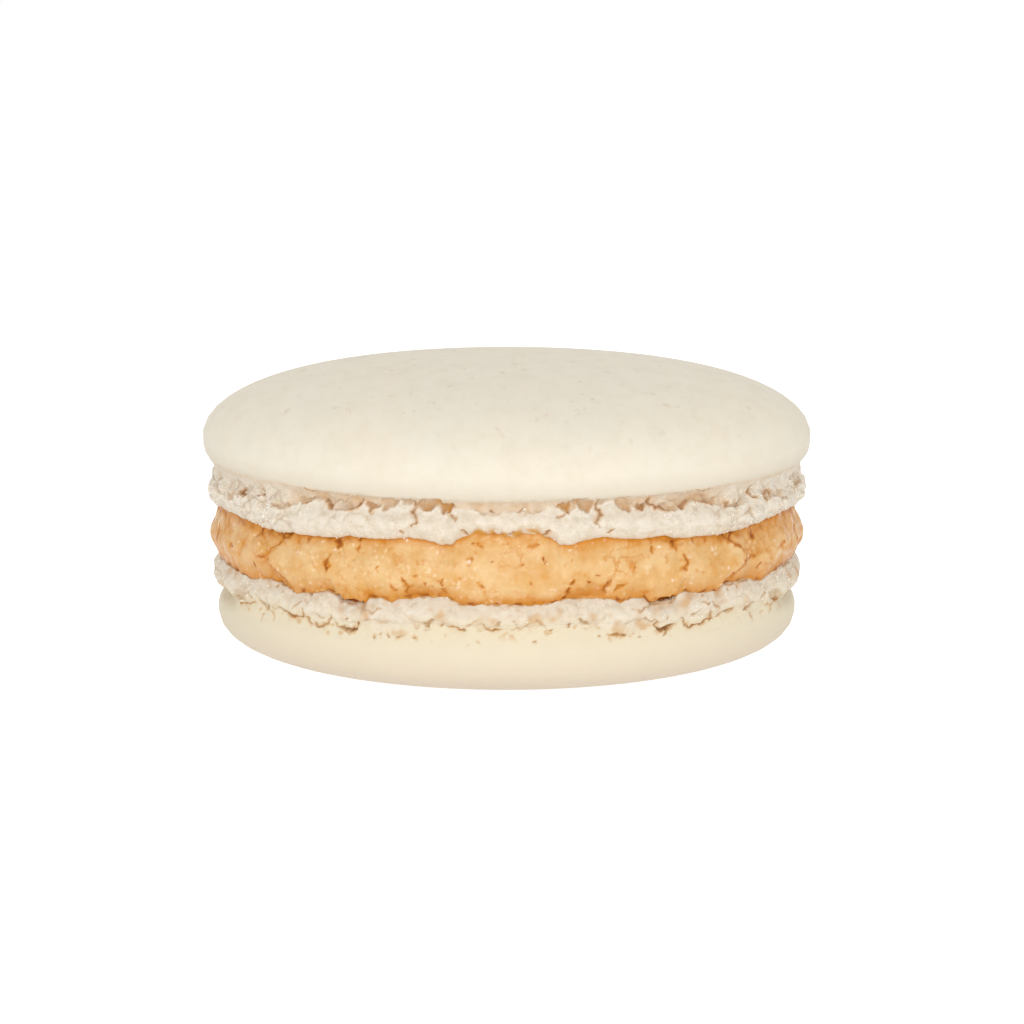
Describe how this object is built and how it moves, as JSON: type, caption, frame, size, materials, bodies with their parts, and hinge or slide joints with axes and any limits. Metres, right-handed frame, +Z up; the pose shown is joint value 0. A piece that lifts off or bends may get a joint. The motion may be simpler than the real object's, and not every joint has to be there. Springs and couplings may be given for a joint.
{
  "type": "french macaron",
  "caption": "Round biscuit sandwich with domed cream shells, ruffled crumbly feet and a lumpy caramel-coloured nut cream between them, standing flat.",
  "frame": {"origin": "on the table under the middle of the biscuit, at the centre of its footprint", "axes": "+Z up through both shells, the shown front faces -Y, +X to its right"},
  "size_m": [0.0461, 0.0459, 0.0224],
  "materials": {
    "baked_shell": "matt baked almond meringue, smooth on the domes and granular on the feet",
    "nut_cream": "soft, slightly moist nut cream"
  },
  "bodies": {
    "root": {"top_shell": "baked_shell", "filling": "nut_cream", "bottom_shell": "baked_shell"}
  },
  "joints": []
}
